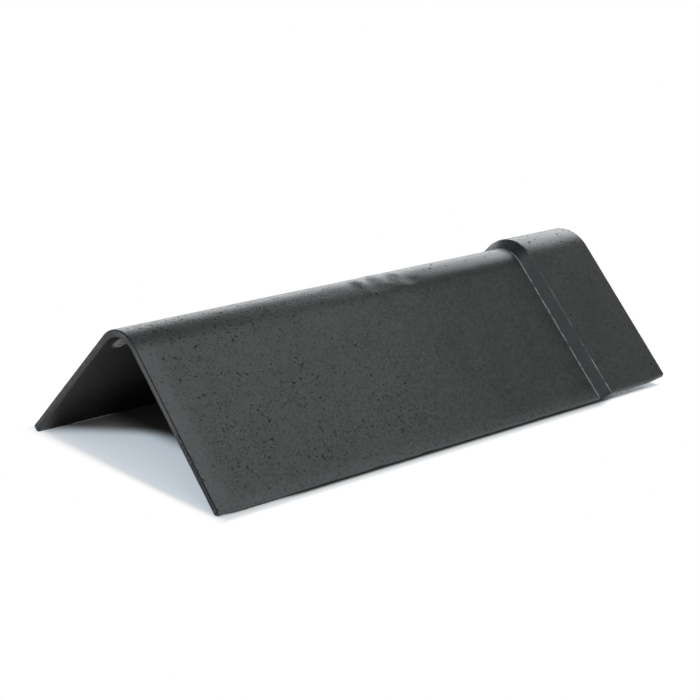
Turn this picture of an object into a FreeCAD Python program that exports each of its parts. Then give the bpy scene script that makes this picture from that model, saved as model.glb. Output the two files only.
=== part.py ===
"""Capped angle ridge tile in fibre cement, moulded in one piece.

A sheet of even thickness is bent over a roof's ridge: two flat wings and a rounded apex between them.
At one end the sheet steps outwards in a sloping shoulder and makes a cap, which goes over the plain
end of the next tile in the row.

Frame: +X runs along the ridge from the plain end to the cap, +Z is up. The origin is under the middle
of the tile's length, between the feet of the wings, on the level that they stand on.
Lengths are in millimetres and angles in degrees.
"""

import math
import os

import FreeCAD
import Part

Vector = FreeCAD.Vector

# Driving dimensions
TILE_LENGTH = 600.0
INCLUDED_ANGLE = 90.0  # between the two wings
WING_WIDTH = 204.0  # outer face of a wing, from its foot to where the two wings' faces would meet
SHEET_THICKNESS = 7.0
APEX_RADIUS = 35.0  # outside of the bend over the ridge, in the plain part
CAP_LENGTH = 89.0  # level part of the cap, behind the shoulder
SHOULDER_RUN = 10.5  # length of the sloping shoulder along the ridge
LAP_CLEARANCE = 2.0  # room between the cap and the plain end that lies in it
SHOULDER_CREST_RADIUS = 2.0  # outer edge along the top of the shoulder
SOCKET_BEND_RADIUS = 8.0  # the two bends of the sheet's inner face at the shoulder
EDGE_RADIUS = 1.5  # all edges of the two ends and of the wings' feet

# Worked out from them
SLOPE = math.radians(90.0 - INCLUDED_ANGLE / 2)  # of each wing, from the level
FLAT_WIDTH = WING_WIDTH - APEX_RADIUS * math.tan(SLOPE)  # the wing without the bend
CAP_STEP = SHEET_THICKNESS + LAP_CLEARANCE
SHOULDER_FOOT = TILE_LENGTH - CAP_LENGTH - SHOULDER_RUN  # from the plain end
SHOULDER_ANGLE = math.atan2(CAP_STEP, SHOULDER_RUN)

RIDGE = Vector(1, 0, 0)
SIDES = (1, -1)  # left and right wing


def down_wing(side):
    """Direction from the apex to the foot of one wing."""
    return Vector(0, side * math.cos(SLOPE), -math.sin(SLOPE))


def rounded_face(corners):
    """Flat face in the XZ plane with the corners (x, z, radius) in order."""
    points = [Vector(x, 0, z) for x, z, _ in corners]
    edges = []
    ends = []
    for i, (_, _, radius) in enumerate(corners):
        to_last = (points[i - 1] - points[i]).normalize()
        to_next = (points[(i + 1) % len(points)] - points[i]).normalize()
        half_angle = to_last.getAngle(to_next) / 2
        tangent = radius / math.tan(half_angle)
        ends.append((points[i] + to_last * tangent, points[i] + to_next * tangent))
        if radius:
            bisector = (to_last + to_next).normalize()
            middle = points[i] + bisector * (radius / math.sin(half_angle) - radius)
            edges.append(Part.Arc(ends[i][0], middle, ends[i][1]).toShape())
    for i in range(len(corners)):
        edges.append(Part.LineSegment(ends[i - 1][1], ends[i][0]).toShape())
    return Part.Face(Part.Wire(Part.__sortEdges__(edges)))


def sheet_profile():
    """The sheet cut along the ridge, at the top of the bend, with the bend's axis at z = 0."""
    outside = APEX_RADIUS
    inside = APEX_RADIUS - SHEET_THICKNESS
    socket_foot = SHOULDER_FOOT + SHEET_THICKNESS * math.tan(SHOULDER_ANGLE / 2)
    return rounded_face(
        [
            (0, inside, 0),
            (0, outside, 0),
            (SHOULDER_FOOT, outside, 0),
            (SHOULDER_FOOT + SHOULDER_RUN, outside + CAP_STEP, SHOULDER_CREST_RADIUS),
            (TILE_LENGTH, outside + CAP_STEP, 0),
            (TILE_LENGTH, inside + CAP_STEP, 0),
            (socket_foot + SHOULDER_RUN, inside + CAP_STEP, SOCKET_BEND_RADIUS),
            (socket_foot, inside, SOCKET_BEND_RADIUS),
        ]
    )


def turned_profile(side):
    """The sheet's profile at the line where the bend meets one wing."""
    profile = sheet_profile()
    profile.rotate(Vector(), RIDGE, -side * math.degrees(SLOPE))
    return profile


def bent_sheet():
    """The apex turned about the bend's axis, with a flat wing on each side."""
    apex = turned_profile(SIDES[0]).revolve(Vector(), RIDGE, 2 * math.degrees(SLOPE))
    wings = [turned_profile(side).extrude(down_wing(side) * FLAT_WIDTH) for side in SIDES]
    return apex.fuse(wings).removeSplitter().Solids[0]


def in_plane(edge, normal, distance):
    """Whether an edge lies in the plane that far from the origin along its normal."""
    points = [vertex.Point for vertex in edge.Vertexes] + [edge.CenterOfMass]
    return all(abs(point.dot(normal) - distance) < 1e-4 for point in points)


def rounded_edges(tile):
    """The tile with the edges of its two ends and of its feet rounded."""
    planes = [(RIDGE, 0), (RIDGE, TILE_LENGTH)] + [(down_wing(side), FLAT_WIDTH) for side in SIDES]
    edges = [edge for edge in tile.Edges if any(in_plane(edge, *plane) for plane in planes)]
    return tile.makeFillet(EDGE_RADIUS, edges).Solids[0]


def foot_level():
    """Height of the feet's lowest line, on the rounding of their inner edges."""
    rounding_axis = (
        (APEX_RADIUS - SHEET_THICKNESS + EDGE_RADIUS) * math.cos(SLOPE)
        - (FLAT_WIDTH - EDGE_RADIUS) * math.sin(SLOPE)
    )
    return rounding_axis - EDGE_RADIUS


def ridge_cap():
    """The whole tile in its own frame, standing on its feet."""
    tile = rounded_edges(bent_sheet())
    tile.translate(Vector(-TILE_LENGTH / 2, 0, -foot_level()))
    return tile


def main():
    os.makedirs("parts", exist_ok=True)
    tile = ridge_cap()
    tile.exportStep("parts/ridge_cap.step")
    box = tile.optimalBoundingBox(False)
    print(f"ridge_cap: valid {tile.isValid()}, volume {tile.Volume / 1e6:.4f} dm3")
    print(f"size {box.XLength:.2f} x {box.YLength:.2f} x {box.ZLength:.2f}, lowest at {box.ZMin:.3f}")


main()
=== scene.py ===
import math

import bmesh
import bpy
from mathutils import Matrix, Vector, noise


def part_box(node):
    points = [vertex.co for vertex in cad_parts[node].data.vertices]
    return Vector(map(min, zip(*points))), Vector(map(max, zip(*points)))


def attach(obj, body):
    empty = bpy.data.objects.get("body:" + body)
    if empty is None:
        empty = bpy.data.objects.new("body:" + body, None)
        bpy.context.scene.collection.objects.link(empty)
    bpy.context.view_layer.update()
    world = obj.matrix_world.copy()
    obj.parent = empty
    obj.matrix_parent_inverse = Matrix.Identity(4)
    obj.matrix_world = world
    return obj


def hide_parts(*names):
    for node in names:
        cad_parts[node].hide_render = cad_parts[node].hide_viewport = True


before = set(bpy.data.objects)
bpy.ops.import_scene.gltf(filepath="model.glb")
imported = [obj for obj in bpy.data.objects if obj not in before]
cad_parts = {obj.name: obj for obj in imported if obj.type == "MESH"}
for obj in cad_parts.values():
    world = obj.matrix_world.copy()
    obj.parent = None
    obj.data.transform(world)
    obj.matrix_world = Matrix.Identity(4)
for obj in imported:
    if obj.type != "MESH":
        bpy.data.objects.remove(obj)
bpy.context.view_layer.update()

# Capped angle ridge tile in dark fibre cement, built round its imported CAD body.
# +X runs along the ridge from the plain end to the cap. The wings slope down towards +Y and -Y.

mm = 0.001
low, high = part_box("ridge_cap")

tile = {
    "thickness": 7.0 * mm,
    "apexRadius": 35.0 * mm,      # outside of the bend, in the plain part
    "capStep": 9.0 * mm,
    "capLength": 89.0 * mm,
    "shoulderRun": 10.5 * mm,
    "slope": math.radians(45),    # of each wing, from the level
    "footRadius": 1.5 * mm,       # of the CAD body's feet
    "footRounding": 3.3 * mm,     # of the -Y feet as they came out of the mould
    "otherFootRounding": 1.9 * mm,
    "cornerRounding": (3.2 * mm, 1.1 * mm),   # of the plain end's corner towards -Y, and of the others
    "endRounding": 1.1 * mm,
    "crestRounding": 1.2 * mm,
    "socketBend": 8.0 * mm,
    "flashHeight": 0.55 * mm,     # bead of cement along the foot of the shoulder
    "flashWidth": 1.3 * mm,
    "cell": 3.6 * mm,             # of the mesh
}


# What follows from them and from the CAD body's own box
sinSlope, cosSlope = math.sin(tile["slope"]), math.cos(tile["slope"])
plainEnd, capEnd = low.x, high.x
crestX = capEnd - tile["capLength"]
footX = crestX - tile["shoulderRun"]
axisHeight = high.z - tile["apexRadius"] - tile["capStep"]
capRadius = tile["apexRadius"] + tile["capStep"]
footCentre = high.y - tile["footRadius"]      # middle of the rounding of a foot's outer corner
wingFlat = (footCentre - (capRadius - tile["footRadius"]) * sinSlope) / cosSlope + tile["footRadius"]
middleRadius = tile["apexRadius"] - tile["thickness"] / 2
# a rounder foot ends higher, so the wings are that much longer and still stand on the floor
rounderFoot = (tile["footRounding"] - tile["footRadius"]) * (math.sqrt(2) - 1) / sinSlope
# distance of a foot from the apex line, over the outer face
footAt = tile["slope"] * tile["apexRadius"] + wingFlat + rounderFoot
halfThickness = tile["thickness"] / 2


# Short ways to make nodes

def addNode(tree, kind, values=None, **settings):
    # values maps a socket's name or number to a constant or to the socket that feeds it
    node = tree.nodes.new(kind)
    for name, value in settings.items():
        setattr(node, name, value)
    for key, value in (values or {}).items():
        if isinstance(value, bpy.types.NodeSocket):
            tree.links.new(value, node.inputs[key])
        else:
            node.inputs[key].default_value = value
    return node


def calc(tree, operation, *values):
    return addNode(tree, "ShaderNodeMath", dict(enumerate(values)), operation=operation).outputs[0]


def calcVector(tree, operation, *values):
    node = addNode(tree, "ShaderNodeVectorMath", dict(enumerate(values)), operation=operation)
    return node.outputs["Value" if operation in ("LENGTH", "DISTANCE", "DOT_PRODUCT") else "Vector"]


def attributeOf(tree, name):
    return addNode(tree, "GeometryNodeInputNamedAttribute", {"Name": name}, data_type="FLOAT").outputs[0]


def newTree(name, sockets):
    tree = bpy.data.node_groups.new(name, "GeometryNodeTree")
    tree.interface.new_socket("Geometry", in_out="INPUT", socket_type="NodeSocketGeometry")
    for label, kind in sockets.items():
        tree.interface.new_socket(label, in_out="INPUT", socket_type="NodeSocket" + kind)
    tree.interface.new_socket("Geometry", in_out="OUTPUT", socket_type="NodeSocketGeometry")
    return tree, tree.nodes.new("NodeGroupInput").outputs


def runTree(piece, tree, inputs):
    # the tree's result becomes the piece's plain mesh
    modifier = piece.modifiers.new(tree.name, "NODES")
    modifier.node_group = tree
    for item in tree.interface.items_tree:
        if item.in_out == "INPUT" and item.name in inputs:
            modifier[item.identifier] = inputs[item.name]
    graph = bpy.context.evaluated_depsgraph_get()
    result = bpy.data.meshes.new_from_object(piece.evaluated_get(graph))
    piece.modifiers.remove(modifier)
    piece.data = result
    return piece


def newPiece(name, mesh):
    piece = bpy.data.objects.new(name, mesh)
    bpy.context.scene.collection.objects.link(piece)
    return piece


def newMaterial(name):
    material = bpy.data.materials.new(name)
    material.use_nodes = True
    return material, material.node_tree, material.node_tree.nodes["Principled BSDF"]


cement = {
    "dark": (0.0160, 0.0173, 0.0168, 1),
    "light": (0.0508, 0.0535, 0.0524, 1),
    "speck": (0.008, 0.008, 0.008, 1),     # tiny dark marks between the pits
    "fleck": (0.078, 0.081, 0.080, 1),     # single pale grains
    "skin": (0.072, 0.079, 0.084, 1),      # smoother cement along the plain end and the feet
    "shoulderShade": (0.022, 0.029, 0.033, 1),     # painted shade on the shoulder, which faces the near end and gets little light
    "bend": (0.010, 0.011, 0.011, 1),      # painted shade: darker band on either side of the apex, where the bend faces a dark part of the room
    "broken": (0.013, 0.015, 0.016, 1),    # rough cement of the end faces
    "inside": ((0.010, 0.010, 0.009, 1), (0.042, 0.042, 0.042, 1)),    # painted shade of the undersides, darkest low by the floor and lighter high up
    "worn": (0.210, 0.220, 0.222, 1),      # thin edges where the skin is rubbed off
    "dust": (0.580, 0.555, 0.510, 1),      # pale patch left under the apex
    # darker cement in the pits, partly dirt and partly painted shade in the hollows
    "pitDirtAndShade": ((0.012, 0.012, 0.012, 1), (0.036, 0.037, 0.037, 1)),
    "roughness": (0.30, 0.56),
    "bendGloss": 0.09,                     # how much less rough the bend is
    # scale, detail and roughness of each pattern
    "clouds": (22.0, 5.0, 0.6),
    "mottle": (300.0, 4.0, 0.7),
    "grain": (900.0, 2.0, 0.6),
    "flecks": (520.0, 1.0, 0.5),
    "specks": (400.0, 2.0, 0.5),
    "beadBreaks": (75.0, 3.0, 0.7),
    "crestBreaks": (60.0, 3.0, 0.7),
    # reaches, each from where there is nothing of it to where there is all of it
    "pitted": (110 * mm, -90 * mm),        # place on the ridge of the half with the pits
    "outside": (-1.6 * mm, 0.4 * mm),      # from the middle of the sheet
    "skinByEnd": (30 * mm, 6 * mm),
    "skinByFeet": (16 * mm, 3 * mm),
    "bendShadeTop": (5 * mm, 14 * mm),          # of the band of painted shade, sideways from the ridge
    "bendShadeFoot": (29 * mm, 18 * mm),
    "glossyBend": (36 * mm, 24 * mm),
    "endFace": (1.5 * mm, 0.9 * mm),
    "brokenLow": (-70 * mm, -95 * mm),     # along Y, on the near wing and on the far one
    "brokenFar": (-20 * mm, 10 * mm),
    "arris": (1.6 * mm, 2.9 * mm),
    "undersideShadeFade": (12 * mm, 75 * mm),
    "dustPlace": (22 * mm, 24 * mm, 31 * mm),      # from the plain end, the middle and the top
    "dustReach": (12 * mm, 7 * mm),
    "beadLine": (1.0 * mm, 0.3 * mm),
    "crestLine": (0.8 * mm, 0.2 * mm),
    "wornLow": (75 * mm, 45 * mm),         # height of the palest part of the crest
}


def mixColours(tree, factor, first, second):
    node = tree.nodes.new("ShaderNodeMix")
    node.data_type = "RGBA"
    for key, value in (("Factor", factor), ("A", first), ("B", second)):
        socket = next(s for s in node.inputs if s.name == key and s.enabled)
        if isinstance(value, bpy.types.NodeSocket):
            tree.links.new(value, socket)
        else:
            socket.default_value = value
    return next(s for s in node.outputs if s.enabled)


def ramp(tree, value, start, end):
    # 0 at start and 1 at end, smoothly
    node = addNode(tree, "ShaderNodeMapRange", {"Value": value, "From Min": start, "From Max": end})
    node.interpolation_type = "SMOOTHSTEP"
    return node.outputs["Result"]


def makeCement():
    material, tree, shader = newMaterial("fibreCement")
    place = tree.nodes.new("ShaderNodeTexCoord").outputs["Object"]
    at = addNode(tree, "ShaderNodeSeparateXYZ", {0: place}).outputs

    def times(first, second):
        return calc(tree, "MULTIPLY", first, second)

    def minus(first, second):
        return calc(tree, "SUBTRACT", first, second)

    def larger(first, second):
        return calc(tree, "MAXIMUM", first, second)

    def timesPlus(value, factor, shift):
        return calc(tree, "MULTIPLY_ADD", value, factor, shift)

    def within(value, reach):
        return ramp(tree, value, *cement[reach])

    def away(value, middle):
        return calc(tree, "ABSOLUTE", minus(value, middle))

    def cloud(pattern):
        scale, detail, roughness = cement[pattern]
        values = {"Vector": place, "Scale": scale, "Detail": detail, "Roughness": roughness}
        return addNode(tree, "ShaderNodeTexNoise", values).outputs["Fac"]

    clouds, mottle, grain = cloud("clouds"), cloud("mottle"), cloud("grain")
    # grainy all over, with more contrast and more specks on the half with the pits
    pitted = within(at["X"], "pitted")
    blend = timesPlus(mottle, 0.50, times(clouds, 0.16))
    blend = timesPlus(grain, 0.34, blend)
    blend = timesPlus(pitted, 0.07, blend)
    darkest, palest = timesPlus(pitted, 0.05, 0.35), timesPlus(pitted, -0.05, 0.65)
    body = mixColours(tree, ramp(tree, blend, darkest, palest), cement["dark"], cement["light"])
    flecks = times(timesPlus(pitted, 0.54, 0.18), ramp(tree, cloud("flecks"), 0.57, 0.72))
    body = mixColours(tree, flecks, body, cement["fleck"])
    specks = times(timesPlus(pitted, 0.88, 0.05), ramp(tree, cloud("specks"), 0.42, 0.31))
    body = mixColours(tree, specks, body, cement["speck"])

    # distance from the bend's axis, less that of the middle of the plain sheet: inside below 0, outside above
    sideways = calc(tree, "ABSOLUTE", at["Y"])
    upwards = minus(at["Z"], axisHeight)
    bent = calc(tree, "SQRT", timesPlus(upwards, upwards, times(sideways, sideways)))
    flat = timesPlus(sideways, sinSlope, times(upwards, cosSlope))
    onBend = calc(tree, "GREATER_THAN", upwards, sideways)
    offset = minus(timesPlus(onBend, minus(bent, flat), flat), middleRadius)
    outside = within(offset, "outside")
    inside = minus(1.0, outside)

    # smoother, bluer skin near the plain end and the feet, and painted shade on the shoulder and on the sides
    # of the bend
    nearEnd = within(minus(at["X"], plainEnd), "skinByEnd")
    skinned = larger(nearEnd, within(at["Z"], "skinByFeet"))
    skinned = times(skinned, ramp(tree, mottle, 0.30, 0.52))
    coloured = mixColours(tree, times(skinned, 0.75), body, cement["skin"])
    # painted shade: the shoulder's facet is darkened where little light falls on it
    halfRun = tile["shoulderRun"] / 2
    fromMiddle = away(at["X"], footX + halfRun)
    onShoulder = ramp(tree, fromMiddle, halfRun + 0.5 * mm, halfRun - 1.0 * mm)
    coloured = mixColours(tree, times(onShoulder, 0.75), coloured, cement["shoulderShade"])
    # painted shade on either side of the bend, where it faces a dark part of the room
    bendShadeBand = times(within(sideways, "bendShadeTop"), within(sideways, "bendShadeFoot"))
    coloured = mixColours(tree, times(bendShadeBand, 0.75), coloured, cement["bend"])

    # rough end faces, darker in places
    offEnd = calc(tree, "MINIMUM", minus(at["X"], plainEnd), minus(capEnd, at["X"]))
    nearWing = times(within(at["Y"], "brokenLow"), 1.3)
    farWing = times(within(at["Y"], "brokenFar"), 0.85)
    broken = times(larger(nearWing, farWing), ramp(tree, mottle, 0.68, 0.42))
    broken = larger(broken, times(within(offset, "arris"), 0.9))
    broken = times(within(offEnd, "endFace"), calc(tree, "MINIMUM", broken, 1.0))
    coloured = mixColours(tree, broken, coloured, cement["broken"])

    # the undersides with painted shade, darker low down, and with dust left on one place by the near end
    shadedUnderside = mixColours(tree, within(at["Z"], "undersideShadeFade"), *cement["inside"])
    coloured = mixColours(tree, times(inside, 0.85), coloured, shadedUnderside)
    alongRidge, sidewards, downwards = cement["dustPlace"]
    spotPlace = (plainEnd + alongRidge, sidewards, high.z - downwards)
    dusty = times(within(calcVector(tree, "DISTANCE", place, spotPlace), "dustReach"), inside)
    coloured = mixColours(tree, times(dusty, ramp(tree, mottle, 0.3, 0.6)), coloured, cement["dust"])

    # broken pale lines on the bead at the shoulder's foot and on its crest
    onBead = times(within(away(at["X"], footX), "beadLine"), ramp(tree, cloud("beadBreaks"), 0.36, 0.52))
    onCrest = times(within(away(at["X"], crestX), "crestLine"), ramp(tree, cloud("crestBreaks"), 0.42, 0.60))
    worn = larger(onBead, times(onCrest, timesPlus(within(at["Z"], "wornLow"), 0.70, 0.22)))
    coloured = mixColours(tree, times(worn, outside), coloured, cement["worn"])
    tree.links.new(coloured, shader.inputs["Base Color"])

    # little gloss on the broken ends, the undersides, the shoulder and the sides of the bend
    dull = larger(times(broken, 0.65), times(inside, 0.50))
    dull = larger(dull, times(bendShadeBand, 0.45))
    dull = larger(dull, times(onShoulder, 0.58))
    tree.links.new(timesPlus(dull, -0.5, 0.5), shader.inputs["Specular IOR Level"])

    # uneven roughness where the pits are, and a smoother bend
    lowest, highest = cement["roughness"]
    uneven = timesPlus(minus(mottle, 0.5), timesPlus(pitted, 0.80, 0.18), 0.5)
    rough = addNode(tree, "ShaderNodeMapRange", {"Value": uneven, "From Min": 0.32, "From Max": 0.68,
                                                 "To Min": lowest, "To Max": highest})
    smoother = times(within(sideways, "glossyBend"), outside)
    rough = timesPlus(smoother, -cement["bendGloss"], rough.outputs["Result"])
    tree.links.new(rough, shader.inputs["Roughness"])
    fine = addNode(tree, "ShaderNodeBump", {"Height": grain, "Strength": 0.35, "Distance": 0.35 * mm})
    coarse = addNode(tree, "ShaderNodeBump", {
        "Height": mottle, "Strength": timesPlus(pitted, 0.32, 0.18), "Distance": 1.0 * mm,
        "Normal": fine.outputs["Normal"]})
    tree.links.new(coarse.outputs["Normal"], shader.inputs["Normal"])
    return material


def makePitCement():
    material, tree, shader = newMaterial("pitCement")
    place = tree.nodes.new("ShaderNodeTexCoord").outputs["Object"]
    grain = addNode(tree, "ShaderNodeTexNoise", {"Vector": place, "Scale": 900.0, "Detail": 3.0})
    # the pits' darker colour is partly dirt and partly painted shade
    colour = mixColours(tree, grain.outputs["Fac"], *cement["pitDirtAndShade"])
    tree.links.new(colour, shader.inputs["Base Color"])
    shader.inputs["Roughness"].default_value = 0.85
    return material


cementMaterial, pitMaterial = makeCement(), makePitCement()
print("materials made")


# The bent sheet: a section swept along a guide

def guideMesh(name, points, closed):
    # points are (first, second, rounding) in the mesh's XY plane
    mesh = bpy.data.meshes.new(name)
    count = len(points)
    edges = [(i, (i + 1) % count) for i in range(count if closed else count - 1)]
    mesh.from_pydata([(a, b, 0) for a, b, _ in points], edges, [])
    rounding = mesh.attributes.new("rounding", "FLOAT", "POINT")
    rounding.data.foreach_set("value", [r for _, _, r in points])
    return mesh


def sheetProfile():
    # the sheet cut along the ridge: offset from the middle of the plain sheet, then place on the ridge
    t, step = halfThickness, tile["capStep"]
    bendShift = tile["thickness"] * math.tan(math.atan2(step, tile["shoulderRun"]) / 2)
    bead, beadWidth = tile["flashHeight"], tile["flashWidth"] / 2
    ends, crest, socket = tile["endRounding"], tile["crestRounding"], tile["socketBend"]
    near, far = 2.6 * mm, 5.0 * mm        # more points where the corners are rounded
    return [
        (-t, plainEnd + far, 0), (-t, plainEnd + near, 0), (-t, plainEnd, ends),
        (t, plainEnd, ends), (t, plainEnd + near, 0), (t, plainEnd + far, 0),
        (t, footX - beadWidth, 0), (t + bead, footX - beadWidth * 0.3, 0),
        (t + bead, footX + beadWidth * 0.3, 0), (t + beadWidth * 0.8, footX + beadWidth, 0),
        (t + step, crestX, crest),
        (t + step, capEnd - far, 0), (t + step, capEnd - near, 0), (t + step, capEnd, ends),
        (step - t, capEnd, ends), (step - t, capEnd - near, 0), (step - t, capEnd - far, 0),
        (step - t, crestX + bendShift, socket), (-t, footX + bendShift, socket),
    ]


def sectionPath():
    # the middle of the plain sheet across the ridge, foot to foot, with more points at the rounded feet
    corner = middleRadius / cosSlope
    length = footAt - tile["slope"] * tile["apexRadius"] + middleRadius * math.tan(tile["slope"])
    down = [length - tile["footRounding"] * share for share in (0, 0.05, 0.14, 0.28, 0.5, 0.75, 1.0)]
    right = [(-s * cosSlope, corner - s * sinSlope, 0) for s in down]
    left = [(-y, z, 0) for y, z, _ in reversed(right)]
    return right + [(0, corner, middleRadius)] + left


def cutsForCell(tree, cell):
    # how many cuts bring the stretch after each point under one cell
    place = tree.nodes.new("GeometryNodeInputPosition").outputs[0]
    after = addNode(tree, "GeometryNodeOffsetPointInCurve", {"Offset": 1}).outputs["Point Index"]
    nextPlace = addNode(tree, "GeometryNodeFieldAtIndex", {"Index": after}, data_type="FLOAT_VECTOR")
    tree.links.new(place, nextPlace.inputs["Value"])
    stretch = calcVector(tree, "DISTANCE", place, nextPlace.outputs[0])
    return calc(tree, "FLOOR", calc(tree, "DIVIDE", stretch, cell))


def sheetTree():
    tree, given = newTree("bentSheet", {"Section": "Object", "Section Cell": "Float", "Ridge Cell": "Float",
                                        "Bend Steps": "Int", "Edge Steps": "Int", "Material": "Material"})
    rounding = attributeOf(tree, "rounding")

    def roundedCurve(source, steps, cell):
        curve = addNode(tree, "GeometryNodeMeshToCurve", {"Mesh": source})
        bent = addNode(tree, "GeometryNodeFilletCurve", {"Curve": curve.outputs[0], "Count": steps,
                                                         "Radius": rounding}, mode="POLY")
        cuts = cutsForCell(tree, cell)
        cut = addNode(tree, "GeometryNodeSubdivideCurve", {"Curve": bent.outputs[0], "Cuts": cuts})
        return cut.outputs[0]

    profile = roundedCurve(given["Geometry"], given["Edge Steps"], given["Ridge Cell"])
    section = addNode(tree, "GeometryNodeObjectInfo", {"Object": given["Section"]})
    path = roundedCurve(section.outputs["Geometry"], given["Bend Steps"], given["Section Cell"])
    tangent = tree.nodes.new("GeometryNodeInputTangent").outputs[0]
    outward = calcVector(tree, "CROSS_PRODUCT", (1, 0, 0), tangent)
    turned = addNode(tree, "GeometryNodeSetCurveNormal", {"Curve": path, "Normal": outward}, mode="FREE")
    sheet = addNode(tree, "GeometryNodeCurveToMesh", {"Curve": turned.outputs[0], "Profile Curve": profile,
                                                      "Fill Caps": True})
    whole = addNode(tree, "GeometryNodeRealizeInstances", {0: sheet.outputs[0]})
    done = addNode(tree, "GeometryNodeSetMaterial", {
        "Geometry": whole.outputs[0], "Material": given["Material"]})
    addNode(tree, "NodeGroupOutput", {0: done.outputs[0]})
    return tree


def makeSheet():
    section = newPiece("sectionGuide", guideMesh("sectionGuide", sectionPath(), False))
    # the section stands across the ridge, with its bend's centre on the tile's own
    section.data.transform(Matrix(((0, 0, 1, 0), (1, 0, 0, 0), (0, 1, 0, axisHeight), (0, 0, 0, 1))))
    piece = newPiece("ridgeTile", guideMesh("ridgeTile", sheetProfile(), True))
    runTree(piece, sheetTree(), {"Section": section, "Section Cell": tile["cell"], "Ridge Cell": tile["cell"],
                                 "Bend Steps": 24, "Edge Steps": 3, "Material": cementMaterial})
    bpy.data.objects.remove(section)
    return piece


# What the mould and the hand left on it

moulding = {
    "wave": 0.30 * mm, "waveLength": 95 * mm,       # slow unevenness of the whole sheet
    "lump": 0.08 * mm, "lumpLength": 14 * mm,
    "footWobble": 1.1 * mm,                        # uneven lower edges
    "lineWobble": 0.55 * mm,                        # and edges of the shoulder
    "endRoughness": 0.45 * mm,
    "fineChips": 4.5 * mm,                          # sizes of the unevenness of the end faces
    "wideChips": 13 * mm,
    "thicker": 1.6 * mm,                            # how much more the +Y wing measures at its foot
    # places where a foot stands clear of the floor: side (1 is -Y), place on the ridge, half width, height
    "lifts": (
        (-1, -252 * mm, 8 * mm, 1.2 * mm),
        (-1, -221 * mm, 11 * mm, 1.6 * mm),
        (1, 300 * mm, 30 * mm, 1.5 * mm),
    ),
    # marks on the apex, each with its place (on the ridge, then down from the apex line), size and height
    "marks": (
        ((-15 * mm, 3 * mm), (13 * mm, 17 * mm), 1.2 * mm),
        ((9 * mm, -2 * mm), (17 * mm, 20 * mm), 1.0 * mm),
        ((34 * mm, 1 * mm), (13 * mm, 15 * mm), 0.8 * mm),
        ((-28 * mm, 11 * mm), (2.4 * mm, 5 * mm), -0.7 * mm),
        ((2 * mm, 20 * mm), (19 * mm, 7 * mm), -0.45 * mm),
        ((46 * mm, 18 * mm), (15 * mm, 8 * mm), -0.75 * mm),
        ((30 * mm, 9 * mm), (7 * mm, 5 * mm), -0.35 * mm),
        ((20 * mm, 12 * mm), (8 * mm, 5 * mm), -0.4 * mm),
    ),
}


def smooth(value, start, end):
    share = min(1.0, max(0.0, (value - start) / (end - start)))
    return share * share * (3 - 2 * share)


def unbend(point):
    # distance from the apex line over the outer face (to -Y is positive), radius from the bend's axis,
    # and the directions outwards and down the wing
    side = 1 if point.y < 0 else -1
    y, z = abs(point.y), point.z - axisHeight
    angle = math.atan2(y, z)
    bend = tile["apexRadius"]
    if angle < tile["slope"] and z > 0:
        outward = Vector((0, -side * math.sin(angle), math.cos(angle)))
        down = Vector((0, -side * math.cos(angle), -math.sin(angle)))
        return side * angle * bend, math.hypot(y, z), outward, down
    outward = Vector((0, -side * sinSlope, cosSlope))
    down = Vector((0, -side * cosSlope, -sinSlope))
    along = y * cosSlope - z * sinSlope
    return side * (tile["slope"] * bend + along), y * sinSlope + z * cosSlope, outward, down


def sheetMiddle(x):
    # radius of the middle of the sheet at that place on the ridge
    return middleRadius + tile["capStep"] * min(1.0, max(0.0, (x - footX) / (crestX - footX)))


def spot(x, across, place, size):
    # 1 in the middle of an oval spot and 0 outside it
    far = math.hypot((x - place[0]) / size[0], (across - place[1]) / size[1])
    return 1 - smooth(far, 0, 1)


def pressMarks(x, across):
    # how far the outer face stands out by the lumps and dents on the apex
    return sum(height * spot(x, across, place, size) for place, size, height in moulding["marks"])


def footInset(toFoot, rounding):
    # how far the faces are drawn together near a rounded foot
    if toFoot >= rounding:
        return 0.0
    return rounding - math.sqrt(max(0.0, rounding ** 2 - (rounding - max(0.0, toFoot)) ** 2))


def cornerShare(toEnd, toFoot, reach):
    # how far a place near a corner is drawn in, so that the corner's outline becomes an arc
    a, b = reach - toEnd, reach - toFoot
    if a <= 0 or b <= 0:
        return 0.0, 0.0
    share = 1 - max(a, b) / math.hypot(a, b)
    return a * share, b * share


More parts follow.
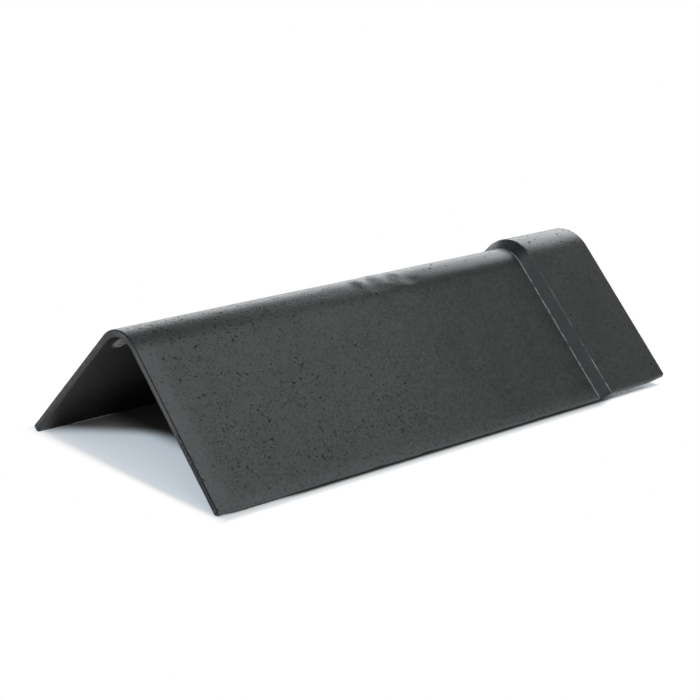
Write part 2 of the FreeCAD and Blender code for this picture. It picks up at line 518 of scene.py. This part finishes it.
def shapeSheet(mesh):
    wave, lump = moulding["waveLength"], moulding["lumpLength"]
    for vertex in mesh.vertices:
        at = vertex.co.copy()
        across, radius, outward, down = unbend(at)
        side = 1 if at.y < 0 else -1
        face = min(1.0, max(-1.0, (radius - sheetMiddle(at.x)) / halfThickness))
        toFoot, toEnd = footAt - abs(across), min(at.x - plainEnd, capEnd - at.x)
        inset = footInset(toFoot, tile["footRounding"] if side == 1 else tile["otherFootRounding"])
        stretched = Vector((at.x, across, face * 8 * mm))
        uneven = moulding["wave"] * noise.noise(stretched / wave + Vector((7.3, 1.7, 4.1)))
        uneven += moulding["lump"] * noise.noise(stretched / lump)
        uneven *= smooth(toFoot, 0, 25 * mm) * smooth(toEnd, 0, 15 * mm)
        if face > 0.9:
            uneven += pressMarks(at.x, across)
        if side == -1 and face < -0.9:
            uneven -= moulding["thicker"] * smooth(toFoot, 110 * mm, 5 * mm)
        vertex.co += outward * (uneven - inset * face)

        # rough end faces, and rounded corners
        inwards = math.copysign(1, -at.x)
        atEnd = smooth(toEnd, tile["endRounding"] * 1.2, 0)
        rough = 0.5 + 0.5 * noise.noise(stretched / moulding["fineChips"])
        rough += 0.4 * noise.noise(stretched / moulding["wideChips"])
        worst = side == 1 and at.x < 0
        drawnX, drawnDown = cornerShare(toEnd, toFoot, tile["cornerRounding"][0 if worst else 1])
        worn = inset * atEnd * (1.0 if worst else 0.3)
        drawnX += worn + moulding["endRoughness"] * max(0.0, rough) * atEnd
        vertex.co.x += inwards * drawnX

        # uneven feet, which still touch the floor
        wobble = noise.noise(Vector((at.x / (31 * mm), side * 3, 0))) - 0.1
        wobble += 0.35 * noise.noise(Vector((at.x / (7 * mm), side * 5, 0)))
        drawnDown += moulding["footWobble"] * max(0.0, wobble) * 1.6 * smooth(toFoot, 12 * mm, 0)
        for liftSide, middle, width, height in moulding["lifts"]:
            if side == liftSide:
                lifted = height / sinSlope * smooth(abs(at.x - middle), width, 0)
                drawnDown += lifted * smooth(toFoot, 14 * mm, 0)
        vertex.co -= down * drawnDown

        # the shoulder's two edges aren't straight
        line = noise.noise(Vector((across / (9 * mm), 1.3, 0)))
        line += 0.6 * noise.noise(Vector((across / (3.5 * mm), 4.7, 0)))
        onShoulder = smooth(min(abs(at.x - footX), abs(at.x - crestX)), 3.0 * mm, 0.8 * mm)
        if face > 0.6:
            vertex.co.x += moulding["lineWobble"] * line * onShoulder * smooth(toFoot, 0, 4 * mm)
    # nothing stands out of the CAD body's box
    for vertex in mesh.vertices:
        vertex.co.x = min(max(vertex.co.x, low.x), high.x)
        vertex.co.y = min(max(vertex.co.y, low.y), high.y)
        vertex.co.z = min(max(vertex.co.z, low.z), high.z)


# Pits left by air in the mould

pits = {
    "marked": {"Seed": 3, "Spacing": 9.0 * mm, "Density": 400000.0, "Facets": 2,
               "Length": (2.0 * mm, 2.9 * mm)},
    "large": {"Seed": 11, "Spacing": 3.6 * mm, "Density": 9500.0, "Facets": 2,
              "Length": (1.1 * mm, 2.3 * mm)},
    "small": {"Seed": 5, "Spacing": 2.1 * mm, "Density": 30000.0, "Facets": 1,
              "Length": (0.7 * mm, 1.3 * mm)},
    "chips": {"Seed": 8, "Spacing": 2.0 * mm, "Density": 260000.0, "Facets": 1,
              "Length": (0.9 * mm, 2.1 * mm)},
    "width": (0.30, 0.54),        # shares of the length
    "depth": (0.30, 0.55),
    "bow": 0.9,                   # of each, in half widths
    "bending": 2.2 * mm,
    "cluster": 24 * mm,
    # from where there are none to where there are all
    "fromPlainEnd": (12 * mm, 34 * mm),
    "fromFeet": (7 * mm, 26 * mm),
    # from where there are all to where there are few
    "alongRidge": (-160 * mm, 30 * mm),
    "offApex": (14 * mm, 30 * mm),
    # the largest, each with its place on the ridge and down from the apex line towards -Y
    "places": ((-278 * mm, 5 * mm), (-245 * mm, 2 * mm), (-232 * mm, 5 * mm), (-237 * mm, 38 * mm),
               (-183 * mm, 33 * mm), (-253 * mm, 133 * mm), (-152 * mm, 137 * mm), (-262 * mm, 172 * mm),
               (-178 * mm, 161 * mm), (-267 * mm, 110 * mm)),
}


def largestPits(point, across):
    off = min(math.hypot(point.x - x, across - down) for x, down in pits["places"])
    return smooth(off, 4.6 * mm, 3.2 * mm)


def ordinaryPits(point, across):
    if footX - 2 * mm < point.x < crestX + 2 * mm:
        return 0.0
    fromEnd, down = point.x - plainEnd, abs(across)
    share = smooth(fromEnd, *pits["fromPlainEnd"]) * smooth(footAt - down, *pits["fromFeet"])
    share *= 1.0 - 0.985 * smooth(point.x, *pits["alongRidge"])
    clusters = noise.noise(Vector((point.x, across, 0)) / pits["cluster"] + Vector((3.1, 8.2, 0)))
    share *= smooth(clusters, -0.28, 0.36)
    # fewer high up the wings further along the ridge
    share *= 1.0 - 0.8 * smooth(point.x, -200 * mm, -110 * mm) * smooth(down, 85 * mm, 40 * mm)
    # some all along the apex, but few between the marks on it, and more on the cap
    onCap = smooth(point.x, crestX, crestX + 4 * mm)
    fewer = 1 - 0.85 * smooth(abs(point.x - 10 * mm), 75 * mm, 50 * mm)
    onApex = (0.26 + 0.5 * onCap) * (1 - smooth(down, *pits["offApex"]))
    return max(share, onApex * fewer * smooth(fromEnd, 5 * mm, 20 * mm))


def chippedEdges(point, across):
    # the broken arris of the plain end, mostly low on the -Y wing, and a few places on the shoulder's crest
    atEnd = smooth(point.x - plainEnd, 2.4 * mm, 0.6 * mm)
    lowDown = smooth(across, 95 * mm, 150 * mm)
    atCrest = smooth(abs(point.x - crestX), 1.6 * mm, 0.4 * mm)
    patches = smooth(noise.noise(Vector((point.x, across, 4 * mm)) / (15 * mm)), -0.05, 0.3)
    return max(atEnd * max(lowDown, 0.35 * patches), 0.35 * atCrest * patches)


def mark(mesh, density):
    # share of the full density of pits at each point of the outer face
    shares = []
    for vertex in mesh.vertices:
        across, radius, outward, _ = unbend(vertex.co)
        outer = radius > sheetMiddle(vertex.co.x) + 1.5 * mm and vertex.normal.dot(outward) > 0.3
        shares.append(density(vertex.co, across) if outer else 0.0)
    share = mesh.attributes.get("pitting") or mesh.attributes.new("pitting", "FLOAT", "POINT")
    share.data.foreach_set("value", shares)


def pitTree():
    tree, given = newTree("pits", {"Seed": "Int", "Spacing": "Float", "Density": "Float", "Shortest": "Float",
                                   "Longest": "Float", "Facets": "Int", "Pit Material": "Material"})
    spread = addNode(tree, "GeometryNodeDistributePointsOnFaces", distribute_method="POISSON", values={
        "Mesh": given["Geometry"], "Distance Min": given["Spacing"], "Density Max": given["Density"],
        "Density Factor": attributeOf(tree, "pitting"), "Seed": given["Seed"]})

    def pick(lowest, highest, offset):
        seed = calc(tree, "ADD", given["Seed"], offset)
        node = addNode(tree, "FunctionNodeRandomValue", {"Min": lowest, "Max": highest, "Seed": seed},
                       data_type="FLOAT")
        return node.outputs["Value"]

    length = pick(given["Shortest"], given["Longest"], 1)
    width = calc(tree, "MULTIPLY", length, pick(*pits["width"], 2))
    depth = calc(tree, "MULTIPLY", length, pick(*pits["depth"], 3))
    spin = addNode(tree, "ShaderNodeCombineXYZ", {"Z": pick(0.0, math.tau, 4)}).outputs[0]
    turn = addNode(tree, "FunctionNodeRotateRotation", rotation_space="LOCAL", values={
        "Rotation": spread.outputs["Rotation"], "Rotate By": spin}).outputs[0]
    scale = addNode(tree, "ShaderNodeCombineXYZ", {"X": length, "Y": width, "Z": depth}).outputs[0]
    # a ball, bowed along its length
    ball = addNode(tree, "GeometryNodeMeshIcoSphere", {"Radius": 1.0, "Subdivisions": given["Facets"]})
    place = tree.nodes.new("GeometryNodeInputPosition").outputs[0]
    alongBall = addNode(tree, "ShaderNodeSeparateXYZ", {0: place}).outputs["X"]
    bow = calc(tree, "MULTIPLY", calc(tree, "MULTIPLY", alongBall, alongBall), pits["bow"])
    bow = addNode(tree, "ShaderNodeCombineXYZ", {"Y": bow}).outputs[0]
    bowed = addNode(tree, "GeometryNodeSetPosition", {"Geometry": ball.outputs[0], "Offset": bow})
    placed = addNode(tree, "GeometryNodeInstanceOnPoints", {
        "Points": spread.outputs["Points"], "Rotation": turn, "Instance": bowed.outputs[0], "Scale": scale})
    blobs = addNode(tree, "GeometryNodeRealizeInstances", {0: placed.outputs[0]}).outputs[0]
    # every blob gets its own ragged outline
    ragged = addNode(tree, "ShaderNodeTexNoise", {"Vector": place, "Scale": 350.0, "Detail": 2.0})
    shift = calcVector(tree, "SUBTRACT", ragged.outputs["Color"], (0.5, 0.5, 0.5))
    shift = addNode(tree, "ShaderNodeVectorMath", {0: shift, "Scale": pits["bending"]}, operation="SCALE")
    blobs = addNode(tree, "GeometryNodeSetPosition", {"Geometry": blobs, "Offset": shift.outputs[0]}).outputs[0]
    blobs = addNode(tree, "GeometryNodeSetMaterial", {"Geometry": blobs, "Material": given["Pit Material"]})
    carved = addNode(tree, "GeometryNodeMeshBoolean", operation="DIFFERENCE", solver="MANIFOLD", values={
        "Mesh 1": given["Geometry"], "Mesh 2": blobs.outputs[0]})
    whole = addNode(tree, "GeometryNodeRealizeInstances", {0: carved.outputs[0]})
    addNode(tree, "NodeGroupOutput", {0: whole.outputs[0]})
    return tree


def carvePits(piece):
    tree = pitTree()
    densities = {"marked": largestPits, "large": ordinaryPits, "small": ordinaryPits, "chips": chippedEdges}
    for size, density in densities.items():
        mark(piece.data, density)
        kind = pits[size]
        shortest, longest = kind["Length"]
        before = len(piece.data.polygons)
        runTree(piece, tree, {"Seed": kind["Seed"], "Spacing": kind["Spacing"], "Density": kind["Density"],
                              "Shortest": shortest, "Longest": longest, "Facets": kind["Facets"],
                              "Pit Material": pitMaterial})
        print(size, "carved:", before, "faces before,", len(piece.data.polygons), "after")


def dropHollows(mesh):
    # blobs that lay wholly within the sheet leave closed hollows, which are taken out again
    whole = bmesh.new()
    whole.from_mesh(mesh)
    left, shells = set(whole.verts), []
    while left:
        shell, border = set(), [left.pop()]
        while border:
            vertex = border.pop()
            shell.add(vertex)
            near = {link.other_vert(vertex) for link in vertex.link_edges} & left
            left -= near
            border += near
        shells.append(shell)
    shells.sort(key=len)
    for shell in shells[:-1]:
        bmesh.ops.delete(whole, geom=list(shell), context="VERTS")
    whole.to_mesh(mesh)
    whole.free()
    print("hollows taken out:", len(shells) - 1)


def shadeByAngle(mesh, angle):
    # faces are smooth except across edges sharper than the angle
    mesh.shade_smooth()
    mesh.set_sharp_from_angle(angle=angle)


ridgeTile = makeSheet()
print("sheet bent:", len(ridgeTile.data.vertices), "points")
shapeSheet(ridgeTile.data)
ridgeTile.data.update()
carvePits(ridgeTile)
dropHollows(ridgeTile.data)
shadeByAngle(ridgeTile.data, math.radians(38))
ridgeTile.data.calc_loop_triangles()
print("tile finished:", len(ridgeTile.data.loop_triangles), "triangles")
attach(ridgeTile, "root")
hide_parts("ridge_cap")


# Floor, lights and camera

stage = {
    "floor": (0.9, 0.9, 0.9, 1),
    "shadowUnderWings": (0.12, 0.12, 0.12, 1),    # painted shadow on the floor, deep inside
    # tint and strength of the painted light on the floor just inside the open ends
    "openLightTint": (0.80, 0.90, 1.0, 1),
    "openLightShare": 0.50,
    "behindLightShare": 0.60,
    # where the floor is plain white, counted outwards from the tile's box
    "whitePastEnds": (-12 * mm, 8 * mm),
    "whitePastLeft": (-26 * mm, 10 * mm),   # by the +Y foot of the plain end, where the shadow is softer
    "whitePastFeet": (-3 * mm, 6 * mm),
    "whitePastCap": (-9 * mm, -1 * mm),
    "whiteBehind": (-237 * mm, 26 * mm),    # painted light on the floor behind the +Y foot, where it stands clear: middle and half width
    # and painted light, bluish and partly white, just inside the open ends, but not deep inside by the feet
    "openEnds": (-103 * mm, -70 * mm),
    "openFeet": (26 * mm, -22 * mm),
    "shadowEnds": (-60 * mm, -100 * mm),      # painted shadow on the floor deep inside
    "shadowFeet": (-2 * mm, -8 * mm),
    "horizon": 0.70,                        # brightness of the room
    "top": 0.16,
}


def makeFloor():
    mesh = bpy.data.meshes.new("floor")
    mesh.from_pydata([(-8, -8, 0), (8, -8, 0), (8, 8, 0), (-8, 8, 0)], [], [(0, 1, 2, 3)])
    floor = newPiece("floor", mesh)
    material, tree, shader = newMaterial("floorPaper")
    shader.inputs["Roughness"].default_value = 1.0
    place = tree.nodes.new("ShaderNodeTexCoord").outputs["Object"]
    at = addNode(tree, "ShaderNodeSeparateXYZ", {0: place}).outputs
    offX = calc(tree, "SUBTRACT", calc(tree, "ABSOLUTE", at["X"]), high.x)
    offY = calc(tree, "SUBTRACT", calc(tree, "ABSOLUTE", at["Y"]), high.y)

    # past the tile's outline the camera sees plain white
    plainSide = calc(tree, "LESS_THAN", at["X"], 0.0)
    softer = calc(tree, "MULTIPLY", ramp(tree, at["Y"], -70 * mm, 150 * mm), plainSide)
    byCap = ramp(tree, at["X"], footX - 12 * mm, crestX + 10 * mm)
    endLimits, footLimits = [], []
    ends, left, feet, cap = (stage["whitePast" + part] for part in ("Ends", "Left", "Feet", "Cap"))
    for start in range(2):
        limit = calc(tree, "MULTIPLY_ADD", softer, left[start] - ends[start], ends[start])
        endLimits.append(calc(tree, "MULTIPLY_ADD", byCap, cap[start] - ends[start], limit))
        footLimits.append(calc(tree, "MULTIPLY_ADD", byCap, cap[start] - feet[start], feet[start]))
    outside = calc(tree, "MAXIMUM", ramp(tree, offX, *endLimits), ramp(tree, offY, *footLimits))

    # painted light on a strip behind the foot that stands clear, in place of its shadow
    middle, width = stage["whiteBehind"]
    plainFoot = high.y - tile["capStep"] / sinSlope
    along = calc(tree, "ABSOLUTE", calc(tree, "SUBTRACT", at["X"], middle))
    behind = calc(tree, "MULTIPLY", ramp(tree, along, width, width - 6 * mm),
                  ramp(tree, at["Y"], plainFoot - 2 * mm, plainFoot + 1 * mm))
    behind = calc(tree, "MULTIPLY", behind, stage["behindLightShare"])

    # painted light just inside the open ends, and painted shadow on the floor deep inside
    byFeet = ramp(tree, calc(tree, "SUBTRACT", offY, offX), *stage["openFeet"])
    inside = calc(tree, "MULTIPLY", ramp(tree, offX, *stage["openEnds"]), byFeet)
    inside = calc(tree, "MULTIPLY", inside, stage["openLightShare"])
    paintedShadow = calc(tree, "MULTIPLY", ramp(tree, offX, *stage["shadowEnds"]), ramp(tree, offY, *stage["shadowFeet"]))
    colour = mixColours(tree, paintedShadow, stage["floor"], stage["shadowUnderWings"])
    tree.links.new(colour, shader.inputs["Base Color"])

    path = tree.nodes.new("ShaderNodeLightPath").outputs
    seen = calc(tree, "MAXIMUM", calc(tree, "MAXIMUM", outside, inside), behind)
    seen = calc(tree, "MULTIPLY", seen, path["Is Camera Ray"])
    seen = calc(tree, "MAXIMUM", seen, calc(tree, "MULTIPLY", outside, path["Is Glossy Ray"]))
    # bluish tint of the painted light inside the open ends
    tint = mixColours(tree, outside, stage["openLightTint"], (1, 1, 1, 1))
    white = addNode(tree, "ShaderNodeEmission", {"Color": tint, "Strength": 1.0})
    mixed = addNode(tree, "ShaderNodeMixShader", {0: seen, 1: shader.outputs[0], 2: white.outputs[0]})
    tree.links.new(mixed.outputs[0], tree.nodes["Material Output"].inputs["Surface"])
    floor.data.materials.append(material)


def softbox(name, place, target, width, height, power, colour):
    data = bpy.data.lights.new(name, "AREA")
    data.shape, data.size, data.size_y = "RECTANGLE", width, height
    data.energy, data.color = power, colour
    lamp = bpy.data.objects.new(name, data)
    lamp.visible_camera = False
    lamp.location = place
    lamp.rotation_euler = (Vector(target) - Vector(place)).to_track_quat("-Z", "Y").to_euler()
    bpy.context.scene.collection.objects.link(lamp)


view = {
    "place": (-1.1850, -1.2668, 0.5914),
    "azimuth": 42.616,
    "elevation": 17.062,
    "roll": 1.428,
    "lens": 92.40,
}


def makeCamera():
    data = bpy.data.cameras.new("camera")
    data.lens, data.sensor_width = view["lens"], 36.0
    camera = bpy.data.objects.new("camera", data)
    azimuth, elevation, roll = (math.radians(view[key]) for key in ("azimuth", "elevation", "roll"))
    turn = Matrix.Rotation(-azimuth, 4, "Z") @ Matrix.Rotation(math.pi / 2 - elevation, 4, "X")
    camera.matrix_world = Matrix.Translation(view["place"]) @ turn @ Matrix.Rotation(roll, 4, "Z")
    bpy.context.scene.collection.objects.link(camera)
    bpy.context.scene.camera = camera


def makeWorld():
    # a pale room, darker overhead
    world = bpy.data.worlds.new("studio")
    world.use_nodes = True
    tree = world.node_tree
    direction = tree.nodes.new("ShaderNodeTexCoord").outputs["Generated"]
    up = addNode(tree, "ShaderNodeSeparateXYZ", {0: direction}).outputs["Z"]
    overhead = ramp(tree, up, 0.20, 0.62)
    level = calc(tree, "MULTIPLY_ADD", overhead, stage["top"] - stage["horizon"], stage["horizon"])
    seen = tree.nodes.new("ShaderNodeLightPath").outputs["Is Camera Ray"]
    tree.links.new(calc(tree, "MAXIMUM", level, seen), tree.nodes["Background"].inputs["Strength"])
    tree.nodes["Background"].inputs["Color"].default_value = (1, 1, 1, 1)
    bpy.context.scene.world = world


# place, target, width, height, power and colour
softboxes = {
    "keySoftbox": ((-0.50, -0.95, 1.65), (-0.15, -0.05, 0.05), 2.2, 0.9, 20.0, (1, 1, 1)),
    "nearSoftbox": ((-0.9, 0.05, 1.4), (-0.25, 0.0, 0.0), 0.7, 0.7, 2.0, (0.86, 0.94, 1.0)),
    "backSoftbox": ((1.75, 1.9, 0.95), (0, 0, 0.12), 2.6, 1.2, 25.0, (0.93, 0.97, 1.0)),
    "capSoftbox": ((1.8, 0.64, 1.3), (0.25, 0, 0.12), 0.7, 0.8, 9.0, (0.93, 0.97, 1.0)),
}
makeFloor()
makeWorld()
for name, settings in softboxes.items():
    softbox(name, *settings)
makeCamera()
bpy.context.scene.view_settings.view_transform = "Standard"
print("stage made")
